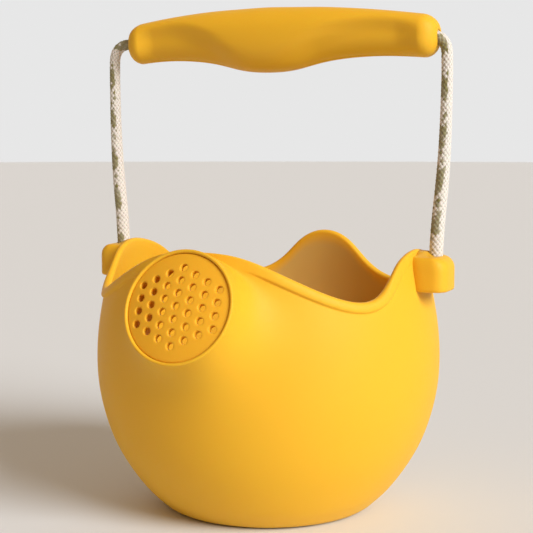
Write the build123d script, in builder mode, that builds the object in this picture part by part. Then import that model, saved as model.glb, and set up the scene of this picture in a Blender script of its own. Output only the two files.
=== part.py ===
from build123d import *
from math import cos, pi, radians, sin, sqrt, tan
import os

os.makedirs("parts", exist_ok=True)

# Silicone sand bucket with a watering spout and a rope bail, in millimetres.
# The origin is the centre of the base. The spout points along -Y and the lugs stand on the X axis.

clearance = 0.3

# bowl
bowl_wall = 2.5
bowl_floor = 3.0
base_radius = 45.0
lobe_top = 115.8
belly_radius = 75.0
belly_height = 66.0
shoulder = (67.8, 30)
upper_wall = (72.8, 89)
wall_top = (67.6, 118)
trim_depth = 20.0
trim_size = (200, 170)
trim_middle = 12.0

# spout: a short tube that tips up from the front wall and flares softly into it
spout_reach = 84.2
spout_height = 97.0
spout_tilt = 22.5
spout_radius = 23.1
lip_width = 1.4
lip_straight = 3.0
flare_radius = 33.0
flare_depth = 28.0
flare_middle = (25.3, -16)
channel_reach = 6.0

# sprinkler rose, a domed disc seated in the mouth of the spout
rose_recess = 0.8
rose_rise = 2.6
rose_thickness = 2.6
rose_shoulder = 2.1
rose_play = 0.1
rose_bevel = 0.5
rose_hole_radius = 1.5
rose_column = 5.42
rose_pitch = 5.15
rose_rings = 3

# the rope, knots and grip stand this far behind the middle of the bowl
bail_back = 3.0

# lugs: a sleeve on the outside of each ear lobe, which holds the rope a little behind its own middle
lug_root = 67.8
lug_reach = 82.5
lug_width = 20.0
lug_middle = 1.0
lug_bottom = 97.4
lug_top = 111.6
lug_corner = 4.5
lug_top_round = 2.5
pocket_radius = 5.6
pocket_top = 107.5

# rope
rope_diameter = 5.2
rope_x = 75.0
knot_centre = 102.4
knot_radius = 4.9
pivot_height = 117.6
swing_room = 3.75
grip_axis = 202.2

# grip
grip_half_length = 71.6
grip_slide = 2.5
grip_end_round = 6.5
mouth_depth = 4.5
mouth_spread = 2.4

rope_radius = rope_diameter / 2
bore_radius = rope_radius + clearance

bottom_centre = (Align.CENTER, Align.CENTER, Align.MIN)

# ---- bucket_body: bowl, spout and lugs in one moulding ----

lug_length = lug_reach - lug_root
lugs = {}
for side in (-1, 1):
    with BuildPart() as lug:
        with BuildSketch(Plane.XY.offset(lug_bottom)) as lug_outline:
            with Locations((side * (lug_root + lug_length / 2), lug_middle)):
                Rectangle(lug_length, lug_width)
        extrude(lug_outline.sketch, amount=lug_top - lug_bottom)
        outer_corners = lug.edges().filter_by(Axis.Z).group_by(Axis.X)[-1 if side > 0 else 0]
        fillet(outer_corners, lug_corner)
        top_face = lug.faces().sort_by(Axis.Z)[-1]
        top_edges = top_face.edges().filter_by(lambda edge: abs(edge.center().X) > lug_root + 0.1)
        fillet(top_edges, lug_top_round)
    lugs[side] = lug

mouth = (0, -spout_reach, spout_height)
spout_direction = (0, -cos(radians(spout_tilt)), sin(radians(spout_tilt)))
mouth_plane = Plane(origin=mouth, x_dir=(1, 0, 0), z_dir=spout_direction)
# x across the spout, y along it
spout_side_plane = Plane(origin=mouth, x_dir=(1, 0, 0), z_dir=(0, -spout_direction[2], spout_direction[1]))

# The rim falls in four dips between the front, back and ear lobes.
# Each dip is an outline seen along its own direction: distance sideways, then height.
front_dip_angle = 56.0
front_dip = [(-52, 115.8), (-40.3, 112.4), (-23.8, 104.4), (-8, 97.6), (0.5, 96.5),
             (10.5, 99.2), (21, 109.4), (28.5, 113.9), (36.5, 115.8)]
back_dip_angle = 133.0
back_dip = [(-46.5, 115.8), (-36.8, 113.9), (-26.4, 108.8), (-16, 100.4), (-4, 96.3), (12, 95.6),
            (24, 97.2), (34.5, 103.2), (43, 111.8), (51, 115.8)]


def cut_dip(angle, side, outline):
    """Cuts one dip of the rim, angle degrees round from the spout towards side * X."""
    turn = radians(angle)
    outwards = (side * sin(turn), -cos(turn), 0)
    sideways = (side * cos(turn), sin(turn), 0)
    dip_plane = Plane(origin=(0, 0, 0), x_dir=sideways, z_dir=outwards)
    up = 1 if dip_plane.y_dir.Z > 0 else -1
    points = [(across, up * height) for across, height in outline]
    above = up * (lobe_top + trim_depth)
    with BuildSketch(dip_plane) as dip:
        with BuildLine():
            Spline(points, tangents=[(1, 0), (1, 0)])
            Polyline(points[-1], (points[-1][0], above), (points[0][0], above), points[0])
        make_face()
    extrude(dip.sketch, amount=belly_radius, mode=Mode.SUBTRACT)


def draw_wall(inset, bottom):
    """Half section of the bowl in three arcs, drawn inset mm inside the outer wall."""
    top = (wall_top[0] - inset, wall_top[1] + inset)
    upper = ThreePointArc(top, (upper_wall[0] - inset, upper_wall[1]), (belly_radius - inset, belly_height))
    lower = TangentArc(upper @ 1, (shoulder[0] - inset, shoulder[1] + inset / 2), tangent=upper % 1)
    TangentArc(lower @ 1, (base_radius, bottom), tangent=lower % 1)
    Polyline((base_radius, bottom), (0, bottom), (0, top[1]), top)


with BuildPart() as bucket_body:
    # bowl
    with BuildSketch(Plane.XZ) as bowl_section:
        with BuildLine():
            draw_wall(0, 0)
        make_face()
    revolve(bowl_section.sketch, axis=Axis.Z)

    # spout, as a flare turned about its own axis
    with BuildSketch(spout_side_plane) as spout_section:
        with BuildLine():
            Line((0, 0), (spout_radius, 0))
            Line((spout_radius, 0), (spout_radius, -lip_straight))
            ThreePointArc((spout_radius, -lip_straight), flare_middle, (flare_radius, -flare_depth))
            Line((flare_radius, -flare_depth), (0, -flare_depth))
            Line((0, -flare_depth), (0, 0))
        make_face()
    revolve(spout_section.sketch, axis=Axis(mouth, spout_direction))

    # inside of the bowl
    with BuildSketch(Plane.XZ) as hollow_section:
        with BuildLine():
            draw_wall(bowl_wall, bowl_floor)
        make_face()
    revolve(hollow_section.sketch, axis=Axis.Z, mode=Mode.SUBTRACT)

    # mouth of the spout: a seat for the rose, and the channel behind its shoulder
    seat_depth = rose_recess + rose_thickness
    seat_radius = spout_radius - lip_width
    with BuildSketch(mouth_plane) as seat:
        Circle(seat_radius)
    extrude(seat.sketch, amount=-seat_depth, mode=Mode.SUBTRACT)
    with BuildSketch(mouth_plane) as channel:
        Circle(seat_radius - rose_shoulder)
    extrude(channel.sketch, amount=-(flare_depth + channel_reach), mode=Mode.SUBTRACT)

    # rim
    for side in (-1, 1):
        cut_dip(front_dip_angle, side, front_dip)
        cut_dip(back_dip_angle, side, back_dip)
    with BuildSketch(Plane.XY.offset(lobe_top)) as above_lobes:
        with Locations((0, trim_middle)):
            Rectangle(*trim_size)
    extrude(above_lobes.sketch, amount=trim_depth, mode=Mode.SUBTRACT)

    # lugs
    for side in (-1, 1):
        add(lugs[side].part)
        with Locations((side * rope_x, bail_back, lug_bottom)):
            Cylinder(bore_radius, lobe_top - lug_bottom, align=bottom_centre, mode=Mode.SUBTRACT)
            Cylinder(pocket_radius, pocket_top - lug_bottom, align=bottom_centre, mode=Mode.SUBTRACT)

# ---- sprinkler_rose: perforated dome pressed into the mouth ----

rose_radius = seat_radius - rose_play
dome_edge = rose_radius - rose_bevel
dome_radius = (dome_edge ** 2 + rose_rise ** 2) / (2 * rose_rise)
dome_top = rose_rise - rose_recess
half_way = dome_edge / 2
half_way_drop = dome_radius - sqrt(dome_radius ** 2 - half_way ** 2)
with BuildPart() as sprinkler_rose:
    with BuildSketch(spout_side_plane) as dome_section:
        with BuildLine():
            front_edge = (dome_edge, -rose_recess)
            back_edge = (dome_edge, -rose_recess - rose_thickness)
            back_top = dome_top - rose_thickness
            ThreePointArc((0, dome_top), (half_way, dome_top - half_way_drop), front_edge)
            side_top = (rose_radius, -rose_recess - rose_bevel)
            Polyline(front_edge, side_top, (rose_radius, -seat_depth), back_edge)
            ThreePointArc(back_edge, (half_way, back_top - half_way_drop), (0, back_top))
            Line((0, back_top), (0, dome_top))
        make_face()
    revolve(dome_section.sketch, axis=Axis(mouth, spout_direction))
    with BuildSketch(mouth_plane.offset(-seat_depth)) as holes:
        for column in range(-rose_rings, rose_rings + 1):
            holes_in_column = 2 * rose_rings + 1 - abs(column)
            with Locations((column * rose_column, 0)):
                with GridLocations(rose_pitch, rose_pitch, 1, holes_in_column):
                    Circle(rose_hole_radius)
    extrude(holes.sketch, amount=seat_depth + rose_rise, mode=Mode.SUBTRACT)

# ---- rope: one length from knot to knot, through both lugs and the grip ----

bail_plane = Plane.XZ.offset(-bail_back)
route_left = [(-rope_x, pivot_height), (-78.2, 150), (-78.9, 186.5), (-78.4, 202.4), (-62, grip_axis)]
route_right = [(-across, height) for across, height in reversed(route_left)]
route = route_left + route_right


def arc_radii(points):
    """Radius at each inner point, so that an arc takes up 0.45 of the shorter run beside it."""
    radii = []
    for before, here, after in zip(points, points[1:], points[2:]):
        run_in = Vector(*here) - Vector(*before)
        run_out = Vector(*after) - Vector(*here)
        half_turn = radians(run_in.get_angle(run_out) / 2)
        radii.append(0.45 * min(run_in.length, run_out.length) / tan(half_turn))
    return radii


route_radii = arc_radii(route)
with BuildLine(bail_plane) as rope_line:
    FilletPolyline(*route, radius=route_radii)

with BuildPart() as rope:
    start = rope_line.wires()[0] @ 0
    heading = rope_line.wires()[0] % 0
    with BuildSketch(Plane(origin=start, z_dir=heading)) as rope_section:
        Circle(rope_radius)
    sweep(rope_section.sketch, path=rope_line.wires()[0])
    with Locations((-rope_x, bail_back, pivot_height), (rope_x, bail_back, pivot_height)):
        Sphere(swing_room, mode=Mode.SUBTRACT)

rope_ends = {}
knots = {}
for name, side in (("left", -1), ("right", 1)):
    with BuildPart() as rope_end:
        with BuildSketch(Plane.XY.offset(knot_centre)) as end_section:
            with Locations((side * rope_x, bail_back)):
                Circle(rope_radius)
        extrude(end_section.sketch, amount=pivot_height - knot_centre)
        with Locations((side * rope_x, bail_back, pivot_height)):
            Sphere(rope_radius)
    with BuildPart() as knot:
        with Locations((side * rope_x, bail_back, knot_centre)):
            Sphere(knot_radius)
        with BuildSketch(Plane.XY.offset(knot_centre)) as rope_way:
            with Locations((side * rope_x, bail_back)):
                Circle(rope_radius)
        extrude(rope_way.sketch, amount=2 * knot_radius, mode=Mode.SUBTRACT)
    rope_ends[name] = rope_end
    knots[name] = knot

# ---- grip: moulded handle that turns on the rope ----

# distance from the middle, height of the top, height of the underside, thickness front to back
grip_stations = [(0, 216.2, 188.4, 25), (12, 215.9, 189.3, 24.6), (24, 215.5, 192.0, 23.4),
                 (38, 214.5, 193.9, 21.6), (54, 212.8, 194.2, 20), (grip_half_length, 210.2, 192.8, 18)]

with BuildPart() as grip:
    ordered = [(-reach, top, under, deep) for reach, top, under, deep in reversed(grip_stations)]
    ordered += grip_stations[1:]
    sections = []
    for reach, top, under, deep in ordered:
        middle = (top + under) / 2
        station_middle = (grip_slide + reach, bail_back, middle)
        station_plane = Plane(origin=station_middle, x_dir=(0, 1, 0), z_dir=(1, 0, 0))
        with BuildSketch(station_plane) as station:
            Ellipse(deep / 2, (top - under) / 2)
        sections.append(station.sketch)
    loft(sections)
    fillet(grip.faces().filter_by(Axis.X).edges(), grip_end_round)
    with BuildSketch(Plane.YZ.offset(grip_slide)) as bore:
        with Locations((bail_back, grip_axis)):
            Circle(bore_radius)
    extrude(bore.sketch, amount=2 * grip_half_length, both=True, mode=Mode.SUBTRACT)
    # each end of the bore opens out in a trumpet, so that the rope can bend as it leaves
    trumpet_radius = (mouth_depth ** 2 + mouth_spread ** 2) / (2 * mouth_spread)
    for side in (-1, 1):
        face_x = grip_slide + side * grip_half_length
        throat_x = face_x - side * mouth_depth
        throat = (throat_x, grip_axis + bore_radius)
        flare_end = (face_x, grip_axis + bore_radius + mouth_spread)
        with BuildSketch(bail_plane) as trumpet:
            with BuildLine():
                RadiusArc(throat, flare_end, side * trumpet_radius)
                Polyline(flare_end, (face_x, grip_axis), (throat_x, grip_axis), throat)
            make_face()
        revolve(trumpet.sketch, axis=Axis((0, bail_back, grip_axis), (1, 0, 0)), mode=Mode.SUBTRACT)

# ---- write the pieces ----

pieces = {"bucket_body": bucket_body, "sprinkler_rose": sprinkler_rose, "rope": rope, "grip": grip}
for name in ("left", "right"):
    pieces["rope_end_" + name] = rope_ends[name]
    pieces["knot_" + name] = knots[name]

for name, piece in pieces.items():
    piece.part.label = name
    export_step(piece.part, "parts/" + name + ".step")
    print(name, piece.part.is_valid, len(piece.part.solids()), round(piece.part.volume))

run_length = rope_line.wires()[0].length
print("rope radii", [round(radius, 1) for radius in route_radii])
print("rope length between the lugs", round(run_length, 1))
section_area = pi * rope_radius ** 2
print("rope volume over section x length", round(rope.part.volume / (section_area * run_length), 3))
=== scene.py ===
import math

import bmesh
import bpy
import numpy as np
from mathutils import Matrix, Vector


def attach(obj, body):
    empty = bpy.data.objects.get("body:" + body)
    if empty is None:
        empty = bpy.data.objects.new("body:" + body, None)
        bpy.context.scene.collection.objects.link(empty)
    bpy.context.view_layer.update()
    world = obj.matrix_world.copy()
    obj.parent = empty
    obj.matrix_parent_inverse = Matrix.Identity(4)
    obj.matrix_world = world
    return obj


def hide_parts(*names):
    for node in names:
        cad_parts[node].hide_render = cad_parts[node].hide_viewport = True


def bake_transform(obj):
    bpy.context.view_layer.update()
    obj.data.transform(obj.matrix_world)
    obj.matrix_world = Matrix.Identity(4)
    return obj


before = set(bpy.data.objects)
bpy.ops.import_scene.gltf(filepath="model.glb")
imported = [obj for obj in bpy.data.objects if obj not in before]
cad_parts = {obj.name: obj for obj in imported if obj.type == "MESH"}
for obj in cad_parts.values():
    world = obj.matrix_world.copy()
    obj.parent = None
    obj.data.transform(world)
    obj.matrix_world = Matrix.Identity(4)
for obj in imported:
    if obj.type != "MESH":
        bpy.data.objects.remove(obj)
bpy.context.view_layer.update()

print("frame loaded:", ", ".join(sorted(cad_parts)))

# the camera stands low, a little to the right of the spout
view = {"distance": 0.550, "azimuth": 24.3, "height": 0.1638, "tiltDown": 6.2, "lens": 85.1, "shift": -0.0038}


def makeCamera(v):
    turn, dip = math.radians(v["azimuth"]), math.radians(v["tiltDown"])
    away = Vector((math.sin(turn), -math.cos(turn), 0))
    looking = -away * math.cos(dip) + Vector((0, 0, -math.sin(dip)))
    data = bpy.data.cameras.new("camera")
    data.lens, data.sensor_width, data.shift_x = v["lens"], 36, v["shift"]
    data.clip_start = 0.01
    cam = bpy.data.objects.new("camera", data)
    cam.location = away * v["distance"] + Vector((0, 0, v["height"]))
    cam.rotation_euler = looking.to_track_quat("-Z", "Y").to_euler()
    bpy.context.collection.objects.link(cam)
    bpy.context.scene.camera = cam


makeCamera(view)


def splineThrough(knots, values, at):
    # natural cubic spline: second derivatives from the tridiagonal system, then the usual cubic on each span
    x, y, at = np.asarray(knots, float), np.asarray(values, float), np.asarray(at, float)
    n, h = len(x), np.diff(x)
    system = np.eye(n)
    right = np.zeros(n)
    inner = np.arange(1, n - 1)
    system[inner, inner - 1], system[inner, inner + 1] = h[:-1], h[1:]
    system[inner, inner] = 2 * (h[:-1] + h[1:])
    right[1:-1] = 6 * (np.diff(y)[1:] / h[1:] - np.diff(y)[:-1] / h[:-1])
    m = np.linalg.solve(system, right)
    k = np.clip(np.searchsorted(x, at) - 1, 0, n - 2)
    a, b, d = x[k + 1] - at, at - x[k], h[k]
    return ((m[k] * a**3 + m[k + 1] * b**3) / (6 * d)
            + (y[k] / d - m[k] * d / 6) * a + (y[k + 1] / d - m[k + 1] * d / 6) * b)


def smooth(lo, hi, x):
    # 0 below lo, 1 above hi, with flat ends
    t = np.clip((x - lo) / (hi - lo), 0, 1)
    return t * t * (3 - 2 * t)


def quads(rows, cols, closeRows=False, closeCols=True):
    # corner indices of each cell in a grid stored row by row
    r = np.arange(rows if closeRows else rows - 1)
    c = np.arange(cols if closeCols else cols - 1)
    i, j = np.meshgrid(r, c, indexing="ij")
    i2, j2 = (i + 1) % rows, (j + 1) % cols
    return np.stack([i * cols + j, i * cols + j2, i2 * cols + j2, i2 * cols + j], -1)


def fans(rows, cols):
    # triangles from one point to the grid's first row, and from another to its last row; both points come
    # after the grid's own
    j = np.arange(cols)
    k = (j + 1) % cols
    first, last, lastRow = np.full(cols, rows * cols), np.full(cols, rows * cols + 1), (rows - 1) * cols
    return np.stack([first, k, j, last, lastRow + j, lastRow + k], -1).reshape(-1, 3)


def makePiece(name, parts, material, weld=1e-7, bridges=()):
    # parts is a list of (vertices, blocks of faces) that become one object; a block has one face to a row.
    # bridges are pairs of vertex ranges: a strip of faces joins their open edges
    corners, faces, base = [], [], 0
    for points, blocks in parts:
        corners.append(np.asarray(points, float).reshape(-1, 3))
        for block in blocks:
            faces += (block + base).tolist()
        base += len(corners[-1])
    mesh = bpy.data.meshes.new(name)
    mesh.from_pydata(np.concatenate(corners).tolist(), [], faces)
    mesh.validate()
    tidy = bmesh.new()
    tidy.from_mesh(mesh)
    tidy.verts.ensure_lookup_table()
    for ranges in bridges:
        loops = [e for e in tidy.edges if e.is_boundary
                 and all(any(lo <= v.index < hi for lo, hi in ranges) for v in e.verts)]
        bmesh.ops.bridge_loops(tidy, edges=loops)
    bmesh.ops.remove_doubles(tidy, verts=tidy.verts, dist=weld)
    bmesh.ops.recalc_face_normals(tidy, faces=tidy.faces)
    tidy.to_mesh(mesh)
    tidy.free()
    mesh.polygons.foreach_set("use_smooth", np.ones(len(mesh.polygons), bool))
    mesh.materials.append(material)
    mesh.update()
    piece = bpy.data.objects.new(name, mesh)
    bpy.context.collection.objects.link(piece)
    return piece


def link(tree, a, b):
    tree.links.new(a, b)


def mathNode(tree, operation, fixed=None):
    node = tree.nodes.new("ShaderNodeMath")
    node.operation = operation
    if fixed is not None:
        node.inputs[1].default_value = fixed
    return node


def mouldGrain():
    # skin of moulded silicone: faint cloudy tone, fine tooth for roughness, and a bump height
    group = bpy.data.node_groups.new("mouldGrain", "ShaderNodeTree")
    face = group.interface
    sliders = (("Cloud Scale", 9.0), ("Cloud Amount", 0.05), ("Tooth Scale", 900.0), ("Roughness", 0.5))
    for name, value in sliders:
        face.new_socket(name, in_out="INPUT", socket_type="NodeSocketFloat").default_value = value
    face.new_socket("Base", in_out="INPUT", socket_type="NodeSocketColor")
    face.new_socket("Color", in_out="OUTPUT", socket_type="NodeSocketColor")
    face.new_socket("Rough", in_out="OUTPUT", socket_type="NodeSocketFloat")
    face.new_socket("Height", in_out="OUTPUT", socket_type="NodeSocketFloat")
    n = group.nodes
    given, out = n.new("NodeGroupInput"), n.new("NodeGroupOutput")
    where = n.new("ShaderNodeTexCoord")
    cloud, tooth = n.new("ShaderNodeTexNoise"), n.new("ShaderNodeTexNoise")
    cloud.inputs["Detail"].default_value = 3
    tooth.inputs["Detail"].default_value = 2
    link(group, where.outputs["Object"], cloud.inputs["Vector"])
    link(group, where.outputs["Object"], tooth.inputs["Vector"])
    link(group, given.outputs["Cloud Scale"], cloud.inputs["Scale"])
    link(group, given.outputs["Tooth Scale"], tooth.inputs["Scale"])
    centred = mathNode(group, "SUBTRACT", 0.5)
    link(group, cloud.outputs["Fac"], centred.inputs[0])
    scaled = mathNode(group, "MULTIPLY")
    link(group, centred.outputs[0], scaled.inputs[0])
    link(group, given.outputs["Cloud Amount"], scaled.inputs[1])
    lift = mathNode(group, "ADD", 1.0)
    link(group, scaled.outputs[0], lift.inputs[0])
    tone = n.new("ShaderNodeVectorMath")
    tone.operation = "SCALE"
    link(group, given.outputs["Base"], tone.inputs[0])
    link(group, lift.outputs[0], tone.inputs["Scale"])
    link(group, tone.outputs[0], out.inputs["Color"])
    rough = mathNode(group, "MULTIPLY_ADD", 0.18)
    link(group, tooth.outputs["Fac"], rough.inputs[0])
    link(group, given.outputs["Roughness"], rough.inputs[2])
    link(group, rough.outputs[0], out.inputs["Rough"])
    link(group, tooth.outputs["Fac"], out.inputs["Height"])
    return group


# the last colour here is painted shade for the inside of the bowl
silicone = {"base": (0.82, 0.455, 0.024), "roughness": 0.45, "cloudAmount": 0.06, "bump": 0.04,
            "depth": (1.0, 0.35, 0.06), "scatter": 0.12, "sheen": 0.03, "gloss": 0.3,
            "insideShade": (0.65, 0.44, 0.125)}


def siliconeMaterial(name, s, base=None):
    m = bpy.data.materials.new(name)
    m.use_nodes = True
    t = m.node_tree
    shader = t.nodes["Principled BSDF"]
    grain = t.nodes.new("ShaderNodeGroup")
    grain.node_tree = bpy.data.node_groups.get("mouldGrain") or mouldGrain()
    grain.inputs["Base"].default_value = (*(base or s["base"]), 1)
    grain.inputs["Roughness"].default_value = s["roughness"]
    grain.inputs["Cloud Amount"].default_value = s["cloudAmount"]
    link(t, grain.outputs["Rough"], shader.inputs["Roughness"])
    bump = t.nodes.new("ShaderNodeBump")
    bump.inputs["Strength"].default_value = s["bump"]
    bump.inputs["Distance"].default_value = 0.0004
    link(t, grain.outputs["Height"], bump.inputs["Height"])
    link(t, bump.outputs["Normal"], shader.inputs["Normal"])
    # painted shade: a stored mask mixes the colour towards a duller, darker brown inside the bowl
    insideShade = t.nodes.new("ShaderNodeMix")
    insideShade.data_type = "RGBA"
    mask = t.nodes.new("ShaderNodeAttribute")
    mask.attribute_name = "insideShade"
    link(t, mask.outputs["Fac"], insideShade.inputs["Factor"])
    link(t, grain.outputs["Color"], insideShade.inputs[6])
    insideShade.inputs[7].default_value = (*s["insideShade"], 1)
    link(t, insideShade.outputs[2], shader.inputs["Base Color"])
    shader.inputs["Subsurface Weight"].default_value = s["scatter"]
    shader.inputs["Subsurface Radius"].default_value = s["depth"]
    shader.inputs["Subsurface Scale"].default_value = 0.004
    shader.inputs["IOR"].default_value = 1.41
    shader.inputs["Specular IOR Level"].default_value = s["gloss"]
    shader.inputs["Sheen Weight"].default_value = s["sheen"]
    shader.inputs["Sheen Roughness"].default_value = 0.5
    shader.inputs["Sheen Tint"].default_value = (1, 0.85, 0.45, 1)
    return m


# the darker groove colour is painted shade between the strands
rope = {"diameter": 0.0052, "atLug": 0.00265, "atGrip": 0.00214,
        "strands": 8, "pick": 0.0023, "relief": 0.00030,
        "cream": (0.90, 0.87, 0.81), "grooveShade": (0.40, 0.36, 0.28), "olive": (0.25, 0.225, 0.055),
        "fleckPitch": 0.0187, "fleckLength": 0.0044, "fleckSide": (-0.86, -0.5, 0.0), "fleckShare": 1.25,
        "strayShare": 0.06,
        "route": [(-0.0750, 0.003, 0.1024), (-0.0750, 0.003, 0.1176), (-0.0782, 0.003, 0.1500),
                  (-0.0789, 0.003, 0.1865), (-0.0784, 0.003, 0.2024), (-0.0620, 0.003, 0.2022),
                  (0.0620, 0.003, 0.2022), (0.0784, 0.003, 0.2024), (0.0789, 0.003, 0.1865),
                  (0.0782, 0.003, 0.1500), (0.0750, 0.003, 0.1176), (0.0750, 0.003, 0.1024)]}


def braidMaterial(r):
    # the strand colour, fleck mask and painted groove shade mask are stored on the mesh, so the pattern follows
    # the rope
    m = bpy.data.materials.new("ropeBraid")
    m.use_nodes = True
    t = m.node_tree
    shader = t.nodes["Principled BSDF"]
    fleck, lift = t.nodes.new("ShaderNodeAttribute"), t.nodes.new("ShaderNodeAttribute")
    fleck.attribute_name, lift.attribute_name = "fleck", "lift"
    dye, shade = t.nodes.new("ShaderNodeMix"), t.nodes.new("ShaderNodeMix")
    dye.data_type = shade.data_type = "RGBA"
    dye.inputs["A"].default_value = (*r["cream"], 1)
    dye.inputs["B"].default_value = (*r["olive"], 1)
    link(t, fleck.outputs["Fac"], dye.inputs["Factor"])
    # painted shade: the colour darkens towards the groove colour where the strands dip under each other
    shade.inputs["A"].default_value = (*r["grooveShade"], 1)
    link(t, dye.outputs["Result"], shade.inputs["B"])
    link(t, lift.outputs["Fac"], shade.inputs["Factor"])
    where = t.nodes.new("ShaderNodeTexCoord")
    fibre = t.nodes.new("ShaderNodeTexNoise")
    fibre.inputs["Scale"].default_value = 2600
    link(t, where.outputs["Object"], fibre.inputs["Vector"])
    mottled = t.nodes.new("ShaderNodeMix")
    mottled.data_type, mottled.blend_type = "RGBA", "MULTIPLY"
    mottled.inputs["Factor"].default_value = 0.35
    link(t, shade.outputs["Result"], mottled.inputs["A"])
    link(t, fibre.outputs["Color"], mottled.inputs["B"])
    link(t, mottled.outputs["Result"], shader.inputs["Base Color"])
    bump = t.nodes.new("ShaderNodeBump")
    bump.inputs["Strength"].default_value = 0.35
    bump.inputs["Distance"].default_value = 0.0002
    link(t, fibre.outputs["Fac"], bump.inputs["Height"])
    link(t, bump.outputs["Normal"], shader.inputs["Normal"])
    shader.inputs["Roughness"].default_value = 0.85
    shader.inputs["Sheen Weight"].default_value = 0.25
    return m


bodySilicone = siliconeMaterial("bucketSilicone", silicone)
gripSilicone = siliconeMaterial("gripSilicone", silicone)
# painted shade: the rose gets a darker, more orange copy of the silicone for the shade on its face
shadedRoseSilicone = siliconeMaterial("shadedRoseSilicone", silicone, (0.83, 0.42, 0.022))
braid = braidMaterial(rope)
print("materials made")


def ropeLine(r):
    # the route's own NURBS spline, read back as points and spaced evenly
    curve = bpy.data.curves.new("ropeRoute", "CURVE")
    curve.dimensions = "3D"
    spline = curve.splines.new("NURBS")
    spline.points.add(len(r["route"]) - 1)
    for point, place in zip(spline.points, r["route"]):
        point.co = (*place, 1)
    spline.order_u = 3
    spline.use_endpoint_u = True
    spline.resolution_u = 48
    holder = bpy.data.objects.new("ropeRoute", curve)
    bpy.context.collection.objects.link(holder)
    bpy.context.view_layer.update()
    mesh = bpy.data.meshes.new_from_object(holder)
    line = np.empty(len(mesh.vertices) * 3)
    mesh.vertices.foreach_get("co", line)
    bpy.data.objects.remove(holder)
    bpy.data.meshes.remove(mesh)
    line = line.reshape(-1, 3)
    along = np.concatenate([[0], np.cumsum(np.linalg.norm(np.diff(line, axis=0), axis=1))])
    even = np.linspace(0, along[-1], int(along[-1] / 0.00036))
    return np.stack([np.interp(even, along, line[:, k]) for k in range(3)], -1), even


def braidedTube(centre, along, radius, r, seed=3):
    # point = centre + (radius + lift) * (cos a * side + sin a * across): two families of strands wind both
    # ways, and in each diamond one family lies on top, domed across its width and dipping at its ends
    cols = r["strands"] * 8
    angle = np.linspace(0, 2 * np.pi, cols, endpoint=False)[None, :]
    s = along[:, None]
    heading = np.gradient(centre, axis=0)
    heading /= np.linalg.norm(heading, axis=1)[:, None]
    across = np.broadcast_to(np.array([0.0, 1.0, 0.0]), centre.shape)
    side = np.cross(across, heading)
    right = r["strands"] * angle / (2 * np.pi) + s / r["pick"]
    left = r["strands"] * angle / (2 * np.pi) - s / r["pick"]
    cellR, cellL = np.floor(right), np.floor(left)
    fracR, fracL = right - cellR, left - cellL
    rightOnTop = (cellR + cellL) % 2 == 0
    width = np.where(rightOnTop, fracR, fracL)
    length = np.where(rightOnTop, fracL, fracR)
    dome = np.sqrt(np.clip(1 - (2 * width - 1) ** 4, 0, 1)) * (0.55 + 0.45 * np.sin(np.pi * length))
    out = radius[:, None] - r["relief"] + 2 * r["relief"] * dome
    points = (centre[:, None, :] + out[..., None] * (np.cos(angle)[..., None] * side[:, None, :]
              + np.sin(angle)[..., None] * across[:, None, :]))
    # flecks: some strands are dyed where a dyed pair meets, once a turn, on one side of the rope
    dice = np.random.default_rng(seed).random((64, 4096))
    roll = dice[(cellL % 64).astype(int), (cellR % 4096).astype(int)]
    phase = (s % r["fleckPitch"]) - r["fleckPitch"] / 2
    outward = (points - centre[:, None, :]) / out[..., None]
    facing = outward @ np.array(r["fleckSide"])
    patch = np.exp(-((phase - 0.002 * facing) / r["fleckLength"]) ** 2) * smooth(-0.25, 0.35, facing)
    chance = r["fleckShare"] * patch + r["strayShare"] * smooth(-0.2, 0.4, facing)
    fleck = (roll < chance).astype(float) * (0.7 + 0.3 * dice[0, (cellR % 4096).astype(int)])
    # the last value is the mask for painted shade in the grooves between strands
    return points, fleck, smooth(0.25, 0.75, dome)


def storeMask(piece, name, values):
    attribute = piece.data.attributes.new(name, "FLOAT", "POINT")
    attribute.data.foreach_set("value", values.astype(np.float32).ravel())


def makeRope(r):
    centre, along = ropeLine(r)
    height = centre[:, 2]
    radius = r["atLug"] + (r["atGrip"] - r["atLug"]) * smooth(0.118, 0.190, height)
    points, fleck, lift = braidedTube(centre, along, radius, r)
    grid = points.shape[:2]
    closed = np.concatenate([points.reshape(-1, 3), centre[[0, -1]]])
    blocks = [quads(*grid).reshape(-1, 4), fans(*grid)]
    piece = makePiece("braided_rope", [(closed, blocks)], braid)
    storeMask(piece, "fleck", np.concatenate([fleck.ravel(), [0, 0]]))
    # the lift mask paints shade into the grooves between strands
    storeMask(piece, "lift", np.concatenate([lift.ravel(), [0.5, 0.5]]))
    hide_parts("rope", "rope_end_left", "rope_end_right")
    return piece, centre[::8], float(along[-1])


ropePiece, ropePath, ropeLength = makeRope(rope)
print("rope made, length", round(ropeLength, 4))


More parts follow.
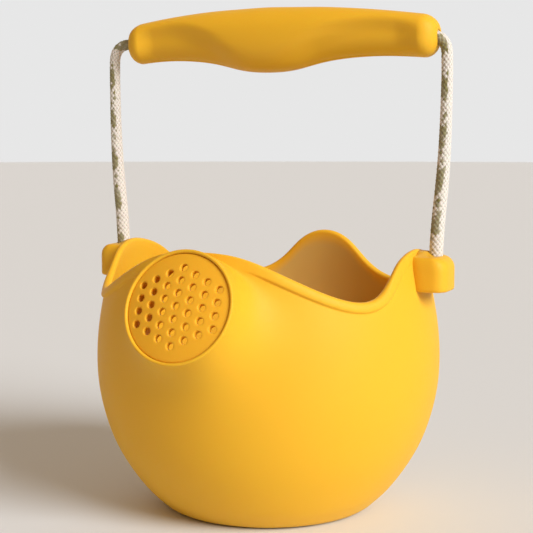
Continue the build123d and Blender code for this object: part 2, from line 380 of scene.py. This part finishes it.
mm = 0.001
bowl = {"wall": 2.5, "columns": 360, "mainRows": 66, "unroll": 69.5,
        "profile": [(0, 0), (20, 0), (40, 0), (42.5, 0), (46.2, 1.0), (48.8, 3.2), (52.8, 7), (57.8, 13),
                    (62.9, 20.5), (67.9, 30), (72, 42), (74.5, 55), (75, 67), (73.8, 82), (71.1, 97), (68.3, 113),
                    (67.4, 119)],
        "rim": [(0, 116.4), (14, 114.9), (27, 109.2), (40, 102), (50, 97.6), (56.5, 96.5), (62.8, 98.3),
                (68.5, 103.4), (74.6, 109.8), (80.5, 113.0), (88, 114.5), (95, 113.9), (101, 112.3), (107, 109.5),
                (113, 105.0), (119, 100.1), (127, 96.4), (137, 94.5), (149, 95.0), (157, 97.9), (163, 103.3),
                (168, 109.5), (173.5, 113.9), (180, 115.6)],
        "lip": [(5.2, 0), (4.7, 0.0), (4.45, 0.25), (4.25, 0.75), (3.8, 1.08), (3.0, 1.15), (2.0, 1.12),
                (1.2, 0.95), (0.6, 0.6), (0.2, 0.05), (0.0, -0.7), (0.0, -1.3), (0.2, -1.9), (0.6, -2.3),
                (1.3, -2.48), (4.7, -2.5), (5.2, -2.5)],
        "lipOuter": 11}
spout = {"reach": 84.2, "height": 97.0, "tilt": 22.5, "radius": 23.1, "lip": 0.7, "mouth": 21.7, "bore": 19.6,
         "seat": 3.4, "start": 1.2, "columns": 192, "innerTurn": 2.2,
         "foot": [(-90, 50), (-40, 50), (-20, 49), (0, 45.5), (10, 42), (20, 37), (30, 31.5), (45, 26.2),
                  (60, 24.2), (75, 23.8), (90, 23.7)]}
lug = {"rope": 75.0, "back": 3.0, "middle": 1.0, "reach": 82.5, "halfWidth": 10.0, "bottom": 97.4, "top": 111.6,
       "pocket": 5.6, "ceiling": 107.5, "hole": 3.0, "round": 5.0, "climb": 2.0, "boxiness": 3.2,
       "columns": 144}


def mirrored(table):
    # the same values on both sides of 0 and beyond 180 degrees, so the spline meets itself
    a, v = np.array(table, float).T
    angles = np.concatenate([-a[4:0:-1], a, 360 - a[-2:-6:-1]])
    return angles, np.concatenate([v[4:0:-1], v, v[-2:-6:-1]])


class Wall:
    # outer line of the bowl, distance along it t, and the offset n outward from it, in millimetres
    def __init__(self, b):
        line = np.array(b["profile"], float)
        knots = np.concatenate([[0], np.cumsum(np.hypot(*np.diff(line, axis=0).T))])
        self.t = np.linspace(0, knots[-1], 1600)
        self.rho = splineThrough(knots, line[:, 0], self.t)
        self.z = np.maximum(splineThrough(knots, line[:, 1], self.t), 0)
        slopeR, slopeZ = np.gradient(self.rho, self.t), np.gradient(self.z, self.t)
        size = np.hypot(slopeR, slopeZ)
        self.outR, self.outZ = slopeZ / size, -slopeR / size
        self.side = np.searchsorted(self.z, 2.0)

    def at(self, t, n):
        rho = np.interp(t, self.t, self.rho) + n * np.interp(t, self.t, self.outR)
        return rho, np.interp(t, self.t, self.z) + n * np.interp(t, self.t, self.outZ)

    def along(self, z):
        return np.interp(z, self.z[self.side:], self.t[self.side:])

    def offset(self, points):
        # signed distance from the outer line, good near the wall
        rho, z = np.hypot(points[..., 0], points[..., 1]), points[..., 2]
        t = self.along(z)
        return (rho - np.interp(t, self.t, self.rho)) * np.interp(t, self.t, self.outR)


wall = Wall(bowl)
tilt = math.radians(spout["tilt"])
mouthCentre = np.array([0, -spout["reach"], spout["height"]])
mouthOut = np.array([0, -math.cos(tilt), math.sin(tilt)])
mouthAcross = np.array([1.0, 0, 0])
mouthUp = np.array([0, math.sin(tilt), math.cos(tilt)])


def footRadius(s, turn):
    # reach of the flare on the wall by its angle above the level, the same on both sides
    above, reach = np.array(s["foot"], float).T
    return splineThrough(above, reach, np.degrees(np.arcsin(np.sin(turn))))


def bowlShell(b):
    # rows run from the pole up the outside, round the lip and down the inside; in the unrolled wall
    # (angle * radius, distance along the line) the lip rows are set off square to the rim line
    angle = np.linspace(-180, 180, b["columns"], endpoint=False)
    fromFront = np.abs(angle)
    rim = wall.along(splineThrough(*mirrored(b["rim"]), fromFront))
    spacing = math.radians(360 / b["columns"]) * b["unroll"]
    slope = np.gradient(np.concatenate([rim[-1:], rim, rim[:1]]), spacing)[1:-1]
    square = np.sqrt(1 + slope**2)
    ears = smooth(64, 72, fromFront) * (1 - smooth(104, 113, fromFront))
    depth, n = np.array(b["lip"], float).T
    proud = (1 - 0.85 * ears) * smooth(15, 29, fromFront)
    lipN = np.where(n[:, None] > 0, n[:, None] * proud, n[:, None])
    lipT = rim - depth[:, None] / square
    lipShift = depth[:, None] * slope / square / b["unroll"]
    part = np.linspace(0, 1, b["mainRows"] + 1)[1:-1] ** 0.9
    mainT = part[:, None] * lipT[0]
    mainShift = smooth(0.6, 1, part)[:, None] * lipShift[0]
    t = np.concatenate([mainT, lipT, mainT[::-1]])
    shift = np.concatenate([mainShift, lipShift, mainShift[::-1]])
    away = np.concatenate([0 * mainT, lipN, 0 * mainT - b["wall"]])
    rho, z = wall.at(t, away)
    theta = np.radians(angle) + shift
    points = np.stack([rho * np.sin(theta), -rho * np.cos(theta), z], -1)
    rows, cols = t.shape
    cells = quads(rows, cols)
    # opening for the spout: cells inside the flare's foot on the outside, and round the channel on the inside
    local = points - mouthCentre
    r, turn = np.hypot(local @ mouthAcross, local @ mouthUp), np.arctan2(local @ mouthUp, local @ mouthAcross)
    inner = (np.arange(rows) >= len(part) + b["lipOuter"])[:, None]
    clear = r - np.where(inner, spout["bore"] + spout["innerTurn"], footRadius(spout, turn)) - 0.2
    clear = np.where(points[..., 1] > -20, 99, clear)
    nearest = np.minimum(clear[:-1], clear[1:])
    nearest = np.minimum(nearest, np.roll(nearest, -1, 1))
    poles = np.array([[0, 0, 0.0], [0, 0, b["wall"]]])
    return np.concatenate([points.reshape(-1, 3), poles]) * mm, [cells[nearest > 0], fans(rows, cols)]


def bezier(p0, p1, p2, p3, count):
    s = np.linspace(0, 1, count)[:, None, None]
    return (1 - s)**3 * p0 + 3 * s * (1 - s)**2 * p1 + 3 * s**2 * (1 - s) * p2 + s**3 * p3


def spoutShell(s):
    # closed section in (r, w) for every turn angle: r from the mouth's axis, w outward along it
    turn = np.linspace(0, 2 * np.pi, s["columns"], endpoint=False)
    ray = np.cos(turn)[:, None] * mouthAcross + np.sin(turn)[:, None] * mouthUp

    def place(r, w):
        return mouthCentre + np.asarray(r)[..., None] * ray + np.asarray(w)[..., None] * mouthOut

    def wallDepth(r, n):
        low, high = np.full(len(turn), -45.0), np.full(len(turn), 12.0)
        for _ in range(40):
            mid = (low + high) / 2
            inside = wall.offset(place(r, mid)) < n
            low, high = np.where(inside, mid, low), np.where(inside, high, mid)
        return low

    one = np.ones(len(turn))

    def row(r, w):
        return np.stack([r * one, w * one], -1)

    # the flare runs from the lip to a foot on the wall: r = r0 + (foot - r0) k^1.8, and its height over the
    # wall is A (1 - k)^2.6; towards the rim the foot draws in, so that the flare stays under the lip
    foot = footRadius(s, turn)
    height = -s["start"] - wallDepth(s["radius"] * one, 0)
    section = []
    for k in np.linspace(1, 0, 30):
        r = s["radius"] + (foot - s["radius"]) * k**1.8
        section.append(row(r, wallDepth(r, 0) + height * (1 - k)**2.6))
    for v in np.linspace(0, np.pi, 9):
        section.append(row(s["radius"] - s["lip"] + s["lip"] * np.cos(v), s["lip"] * (np.sin(v) - 1)))
    for r, w in ((s["mouth"], -1.8), (s["mouth"], 0.1 - s["seat"]), (s["mouth"] - 0.1, -s["seat"]),
                 (s["bore"] + 0.2, -s["seat"]), (s["bore"], -s["seat"] - 0.2)):
        section.append(row(r, w))
    turnR = s["bore"] + s["innerTurn"]
    boreEnd = wallDepth(s["bore"] * one, -2.5)
    turnEnd = row(turnR, wallDepth(turnR * one, -2.5))
    for k in (0.33, 0.66):
        section.append(row(s["bore"], -s["seat"] - 0.2 + (boreEnd + 2.2 + s["seat"] + 0.2) * k))
    section += list(bezier(row(s["bore"], boreEnd + 2.2), row(s["bore"], boreEnd + 1.0),
                           (turnEnd + row(s["bore"], boreEnd)) / 2, turnEnd, 8))
    section = np.stack(section)
    points = place(section[..., 0], section[..., 1])
    return points * mm, [quads(*points.shape[:2]).reshape(-1, 4)]


def lugShell(g, side):
    # closed section for every turn angle round the rope: hole, pocket, bottom, side, rounded top
    turn = np.linspace(0, 2 * np.pi, g["columns"], endpoint=False)
    across, out = np.sin(turn), np.cos(turn)

    def outline(z, shrink=0.0):
        # rounded box: the farthest r whose point is still inside |out / reach|^n + |across / width|^n = 1,
        # cut on the wall side by the middle of the wall
        wallRho = wall.at(wall.along(z), -1.4)[0] - 0.2
        step = 0.05
        r = step * np.arange(321)[:, None]
        y, x = r * across + g["back"] - g["middle"], r * out
        reach = np.where(x > 0, g["reach"] - g["rope"] - shrink, g["rope"] - wallRho + 2.0)
        width = g["halfWidth"] - 0.35 * shrink
        inside = np.abs(x / reach)**g["boxiness"] + np.abs(y / width)**g["boxiness"] < 1
        limit = np.where(out < 0, (g["rope"] - wallRho) / np.maximum(-out, 1e-3), 1e3)
        return np.minimum(inside.sum(0) * step, limit)

    hole, pocket, ceiling = g["hole"], g["pocket"], g["ceiling"]
    rows = [(hole + 0.5, g["top"]), (hole, g["top"] - 0.5), (hole, ceiling + 0.4), (hole + 0.4, ceiling),
            (pocket - 1.2, ceiling), (pocket - 0.3, ceiling - 0.4), (pocket, ceiling - 1.4),
            (pocket, g["bottom"] + 0.5), (pocket + 0.4, g["bottom"])]
    section = [(np.full(len(turn), r), np.full(len(turn), z)) for r, z in rows]
    bottom = outline(g["bottom"])
    section += [(np.maximum(bottom - 1.0, pocket + 0.45), np.full(len(turn), g["bottom"])),
                (np.maximum(bottom - 0.3, pocket + 0.5), np.full(len(turn), g["bottom"] + 0.3))]
    for z in np.linspace(g["bottom"] + 1.0, g["top"] - g["round"], 8):
        section.append((outline(z), np.full(len(turn), z)))
    for lean in np.radians([15, 30, 45, 60, 72, 82, 90]):
        shrink = g["round"] * (1 - math.cos(lean))
        z = g["top"] - g["round"] + g["round"] * math.sin(lean)
        section.append((outline(z, shrink), np.full(len(turn), z)))
    r = np.stack([a for a, _ in section])
    z = np.stack([b for _, b in section])
    # towards the ear the top climbs, most at the top edge
    z = z + (g["climb"] * smooth(1.0, -3.8, r * out) * smooth(g["top"] - 2.5, g["top"], z)
             * (1 - smooth(3, 9, np.abs(r * across))))
    points = np.stack([side * (g["rope"] + r * out), g["back"] + r * across, z], -1)
    return points * mm, [quads(*points.shape[:2], closeRows=True).reshape(-1, 4)]


def paintInsideShade(piece):
    # painted shade: the inside is painted a duller, darker brown where shade falls in the bowl, up to a few
    # millimetres below the rim, but not on the ears, the left part or the channel
    place = np.empty(len(piece.data.vertices) * 3)
    piece.data.vertices.foreach_get("co", place)
    x, y, z = place.reshape(-1, 3).T / mm
    rimAt = splineThrough(*mirrored(bowl["rim"]), np.abs(np.degrees(np.arctan2(x, -y))))
    inside = np.hypot(x, y) < wall.at(wall.along(z), -1.9)[0]
    sides = smooth(-55, -25, x) * (1 - smooth(58, 67, x)) * smooth(-30, -10, y)
    storeMask(piece, "insideShade", inside * smooth(5, 9, z) * sides * (1 - smooth(-7, -3, z - rimAt)))


bowlPart, spoutPart = bowlShell(bowl), spoutShell(spout)
outside = (bowl["mainRows"] - 1 + bowl["lipOuter"]) * bowl["columns"]
whole = len(bowlPart[0])
# the flare's foot is joined to the opening in the outside of the wall. Inside the bowl, the channel's edge
# isn't joined to the opening in the wall, and a narrow seam stays open there
footJoin = ((0, outside), (whole, whole + spout["columns"]))
bucketParts = [bowlPart, spoutPart, lugShell(lug, 1), lugShell(lug, -1)]
bowlPiece = makePiece("silicone_bucket", bucketParts, bodySilicone, bridges=(footJoin,))
paintInsideShade(bowlPiece)
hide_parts("bucket_body")
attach(bowlPiece, "bucket")
print("bucket body made:", len(bowlPiece.data.polygons), "faces")


grip = {"slide": 2.9, "back": 3.0, "bore": 2.4, "boreHeight": 202.2, "halfLength": 72.2, "endRound": 6.5,
        "mouth": 2.45, "mouthDepth": 0.8, "roundness": 2.4, "lean": 3.9,
        "fingerDepth": 3.4, "ridge": -0.55, "ridgeClimb": 1.0, "ridgeReach": 52, "ridgeWidth": 0.35,
        "softness": 0.85,
        "stations": [(0, 216.2, 188.4, 25), (12, 215.9, 189.3, 24.6), (24, 215.5, 192.0, 23.4),
                     (38, 214.5, 193.9, 21.6), (54, 212.8, 194.2, 20), (72.2, 210.2, 192.8, 18)]}


def gripShell(g):
    # sections along X: superellipse between the top and underside lines. Below a ridge that falls towards the
    # middle, front and back are pressed in by depth * smooth(...), which leaves the finger hollows and the
    # bulge between them; domed ends run into the mouths of the bore. The bulge stands to one side, because the
    # tables are read at x + lean * (1 - (x / halfLength)^2)
    x0, top, low, width = np.array(g["stations"], float).T
    knots = np.concatenate([-x0[:0:-1], x0])
    body = g["halfLength"] - g["endRound"]
    x = np.linspace(-body, body, 150)

    def fold(v):
        return np.concatenate([v[:0:-1], v])

    def warped(x):
        return x + g["lean"] * (1 - (x / g["halfLength"])**2)

    topAt, lowAt, widthAt = (splineThrough(knots, fold(v), warped(x)) for v in (top, low, width))
    turn = np.linspace(0, 2 * np.pi, 96, endpoint=False)
    power = 2 / g["roundness"]
    cy = np.sign(np.cos(turn)) * np.abs(np.cos(turn))**power
    cz = np.sign(np.sin(turn)) * np.abs(np.sin(turn))**power

    def section(t, l, w, x):
        y = w[:, None] / 2 * cy
        z = (t + l)[:, None] / 2 + (t - l)[:, None] / 2 * cz
        far = np.abs(warped(x))[:, None]
        ridge = g["ridge"] + g["ridgeClimb"] * smooth(0, g["ridgeReach"], far)
        depth = g["fingerDepth"] * smooth(3, 26, far) * (1 - smooth(56, 70, far))
        press = depth * smooth(0, 1, (ridge + g["ridgeWidth"] - np.sin(turn)) / g["softness"])
        return y - press * np.clip(3 * np.cos(turn), -1, 1), z

    y, z = section(topAt, lowAt, widthAt, x)
    dome = np.radians([12, 25, 38, 50, 62, 73, 82, 90])
    ringY, ringZ = g["mouth"] * np.cos(turn), g["boreHeight"] + g["mouth"] * np.sin(turn)
    rowsX, rowsY, rowsZ = [], [], []
    for end in (1, -1):
        domeX = end * (body + g["endRound"] * np.sin(dome))
        t, l, w = (np.interp(domeX, knots, fold(v)) for v in (top, low, width))
        fullY, fullZ = section(t, l, w, np.full(len(dome), float(end * body)))
        c = np.cos(dome)[:, None]
        capX = np.repeat(domeX[:, None], len(turn), 1)
        capY, capZ = ringY + (fullY - ringY) * c, ringZ + (fullZ - ringZ) * c
        inward = np.linspace(0, 1, 8)[1:]
        r = g["bore"] + (g["mouth"] - g["bore"]) * (1 - np.sqrt(1 - (1 - inward)**2))
        mouthX = end * (g["halfLength"] - g["mouthDepth"] * inward)
        capX = np.concatenate([capX, np.repeat(mouthX[:, None], len(turn), 1)])
        capY = np.concatenate([capY, r[:, None] * np.cos(turn)])
        capZ = np.concatenate([capZ, g["boreHeight"] + r[:, None] * np.sin(turn)])
        rowsX.append(capX)
        rowsY.append(capY)
        rowsZ.append(capZ)
    gx = np.concatenate([np.repeat(x[:, None], len(turn), 1), rowsX[0], rowsX[1][::-1]])
    gy = np.concatenate([y, rowsY[0], rowsY[1][::-1]])
    gz = np.concatenate([z, rowsZ[0], rowsZ[1][::-1]])
    points = np.stack([gx + g["slide"], gy + g["back"], gz], -1) * mm
    return points, [quads(*gx.shape, closeRows=True).reshape(-1, 4)]


gripPiece = makePiece("silicone_grip", [gripShell(grip)], gripSilicone)
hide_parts("grip")
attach(gripPiece, "grip")
print("grip made")


knot = {"ring": 0.0019, "wind": 0.0012, "tube": 0.0016, "relief": 0.00018, "stretch": 1.5, "height": 0.1024,
        "x": 0.0750, "y": 0.003, "steps": 180, "sides": 28, "twists": 28, "flecked": 0.05}


def makeKnot(name, node, side, k):
    # tube round a trefoil: centre = ((R + r cos 3t) cos 2t, (R + r cos 3t) sin 2t, r sin 3t), with the side
    # direction taken from the torus that the trefoil lies on
    t = np.linspace(0, 2 * np.pi, k["steps"], endpoint=False)
    swell = k["ring"] + k["wind"] * np.cos(3 * t)
    centre = np.stack([swell * np.cos(2 * t), swell * np.sin(2 * t), k["wind"] * np.sin(3 * t)], -1)
    normal = np.stack([np.cos(3 * t) * np.cos(2 * t), np.cos(3 * t) * np.sin(2 * t), np.sin(3 * t)], -1)
    heading = np.roll(centre, -1, 0) - np.roll(centre, 1, 0)
    heading /= np.linalg.norm(heading, axis=1)[:, None]
    across = np.cross(heading, normal)
    a = np.linspace(0, 2 * np.pi, k["sides"], endpoint=False)[None, :, None]
    along = np.linspace(0, k["twists"], k["steps"], endpoint=False)[:, None]
    weave = np.abs(np.sin(2 * a[..., 0] + along)) * np.abs(np.sin(2 * a[..., 0] - along))
    r = (k["tube"] + k["relief"] * weave)[..., None]
    points = centre[:, None] + r * (np.cos(a) * normal[:, None] + np.sin(a) * across[:, None])
    points[..., 2] *= k["stretch"]
    points += np.array([side * k["x"], k["y"], k["height"]])
    cells = quads(*weave.shape, closeRows=True).reshape(-1, 4)
    piece = makePiece(name, [(points, [cells])], braid)
    storeMask(piece, "fleck", (np.random.default_rng(5).random(weave.size) < k["flecked"]).astype(float))
    # the lift mask paints shade into the grooves of the knot's weave
    storeMask(piece, "lift", 0.45 + 0.55 * weave)
    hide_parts(node)
    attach(piece, "bucket")
    return piece


knots = [makeKnot("rope_knot_left", "knot_left", -1, knot), makeKnot("rope_knot_right", "knot_right", 1, knot)]
print("knots made")

rose = {"recess": 0.8, "rise": 2.6, "thick": 2.6, "radius": 21.6, "dome": 21.1, "hole": 1.5, "column": 5.42,
        "pitch": 5.15, "rings": 3, "edge": 0.45}


def roseShell(s):
    # one closed sleeve for each hole, from the edge of its cell on the front, through the hole, to the edge on
    # the back; cells meet edge to edge, and a ring of rows takes the outer cells' outline out to the circle
    c, p = s["column"], s["pitch"]
    wide, slope = (c * c + p * p / 4) / (2 * c), (c * c - p * p / 4) / (2 * c)
    half = p / 2
    corners = np.array([(wide, 0), (slope, half), (-slope, half), (-wide, 0), (-slope, -half), (slope, -half)])
    k = np.linspace(0, 1, 5)[:-1]
    k = k[None, :, None]
    edge = (corners[:, None] * (1 - k) + np.roll(corners, -1, 0)[:, None] * k).reshape(-1, 2)
    size = np.linalg.norm(edge, axis=1)
    toward = edge / size[:, None]
    n = s["rings"]
    centres = np.array([(q * c, (r - (2 * n - abs(q)) / 2) * p) for q in range(-n, n + 1)
                        for r in range(2 * n + 1 - abs(q))])
    h, e = s["hole"], s["edge"]
    one = np.ones(len(size))
    rows = [(size, 0), ((size + h + e) / 2, 0), ((h + e) * one, 0), ((h + 0.45 * e) * one, 0.06),
            ((h + 0.12 * e) * one, 0.22), (h * one, 0.5), (h * one, s["thick"] / 2),
            (h * one, s["thick"] - 0.25), ((h + 0.2) * one, s["thick"]), (size, s["thick"])]
    cell = np.stack([np.concatenate([reach[:, None] * toward, down * one[:, None]], 1) for reach, down in rows])
    flat = np.concatenate([cell[None, ..., :2] + centres[:, None, None], np.broadcast_to(cell[None, ..., 2:],
                          (len(centres), *cell.shape[:2], 1))], -1)
    faces = [quads(*cell.shape[:2]).reshape(-1, 4) + i * len(rows) * len(size) for i in range(len(centres))]
    # outline of the outer cells: the edge pieces that only one cell has
    rim = flat[:, 0, :, :2]
    middle = ((rim + np.roll(rim, -1, 1)) / 2).reshape(-1, 2)
    _, first, count = np.unique(np.round(middle, 3), axis=0, return_index=True, return_counts=True)
    single = first[count == 1]
    ends = np.concatenate([rim.reshape(-1, 2)[single], np.roll(rim, -1, 1).reshape(-1, 2)[single]])
    _, keep = np.unique(np.round(ends, 3), axis=0, return_index=True)
    outline = ends[keep]
    outline = outline[np.argsort(np.arctan2(outline[:, 1], outline[:, 0]))]
    outward = outline / np.linalg.norm(outline, axis=1)[:, None]
    circle = outward * s["dome"]
    level = np.ones((len(outline), 1))
    border = [np.concatenate([outline * (1 - t) + circle * t, 0 * level], 1) for t in (0.0, 0.35, 0.7, 1.0)]
    border += [np.concatenate([outward * r, d * level], 1)
               for r, d in ((s["radius"] - 0.15, 0.15), (s["radius"], 0.5), (s["radius"], s["thick"]))]
    border += [np.concatenate([outline * (1 - t) + circle * t, s["thick"] * level], 1) for t in (0.6, 0.0)]
    border = np.stack(border)
    faces.append(quads(*border.shape[:2]).reshape(-1, 4) + len(centres) * len(rows) * len(size))
    flat = np.concatenate([flat.reshape(-1, 3), border.reshape(-1, 3)])
    # dome: height over the lip = rise (1 - (r / R)^2) - recess, less the depth below the front
    fromMiddle = np.minimum((flat[:, 0]**2 + flat[:, 1]**2) / s["dome"]**2, 1)
    height = s["rise"] * (1 - fromMiddle) - s["recess"] - flat[:, 2]
    points = mouthCentre + flat[:, :1] * mouthAcross + flat[:, 1:2] * mouthUp + height[:, None] * mouthOut
    return points * mm, faces


rosePiece = makePiece("perforated_rose", [roseShell(rose)], shadedRoseSilicone, weld=2e-6)
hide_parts("sprinkler_rose")
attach(rosePiece, "bucket")
print("rose made")

studio = {"floor": (0.74, 0.785, 0.83), "behind": (0.80, 0.80, 0.80), "front": (0.38, 0.26, 0.15),
          "backdrop": (-0.41, 0.91, 0.0), "fade": (0.45, 0.92), "sunFrom": (0.86, -0.30, 0.50), "sun": 3.45,
          "sunSoftness": 30}


def makeFloor(s):
    m = bpy.data.materials.new("floorPaint")
    m.use_nodes = True
    m.node_tree.nodes["Principled BSDF"].inputs["Base Color"].default_value = (*s["floor"], 1)
    m.node_tree.nodes["Principled BSDF"].inputs["Roughness"].default_value = 0.7
    a = np.linspace(0, 2 * np.pi, 64, endpoint=False)
    ring = np.stack([6 * np.cos(a), 6 * np.sin(a), 0 * a - 0.0003], -1)
    mesh = bpy.data.meshes.new("floor")
    mesh.from_pydata(ring.tolist(), [], [list(range(64))])
    mesh.materials.append(m)
    floor = bpy.data.objects.new("floor", mesh)
    bpy.context.collection.objects.link(floor)


def makeSun(s):
    # one wide soft key from the right, so the left of the bowl falls into shade
    data = bpy.data.lights.new("key", "SUN")
    data.energy, data.angle = s["sun"], math.radians(s["sunSoftness"])
    key = bpy.data.objects.new("key", data)
    key.rotation_euler = (-Vector(s["sunFrom"])).to_track_quat("-Z", "Y").to_euler()
    bpy.context.collection.objects.link(key)


def makeSky(s):
    # white behind the bucket, as a backdrop is, and dimmer on the side that the camera stands on
    world = bpy.data.worlds.new("studio")
    bpy.context.scene.world = world
    world.use_nodes = True
    t = world.node_tree
    where = t.nodes.new("ShaderNodeTexCoord")
    along = t.nodes.new("ShaderNodeVectorMath")
    along.operation = "DOT_PRODUCT"
    along.inputs[1].default_value = s["backdrop"]
    fade = t.nodes.new("ShaderNodeMapRange")
    fade.interpolation_type = "SMOOTHSTEP"
    fade.inputs["From Min"].default_value, fade.inputs["From Max"].default_value = s["fade"]
    tone = t.nodes.new("ShaderNodeMix")
    tone.data_type = "RGBA"
    tone.inputs["A"].default_value, tone.inputs["B"].default_value = (*s["front"], 1), (*s["behind"], 1)
    link(t, where.outputs["Generated"], along.inputs[0])
    link(t, along.outputs["Value"], fade.inputs["Value"])
    link(t, fade.outputs["Result"], tone.inputs["Factor"])
    link(t, tone.outputs["Result"], t.nodes["Background"].inputs["Color"])


makeFloor(studio)
makeSky(studio)
makeSun(studio)
bpy.context.scene.view_settings.view_transform = "Standard"

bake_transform(ropePiece)

bpy.context.view_layer.update()
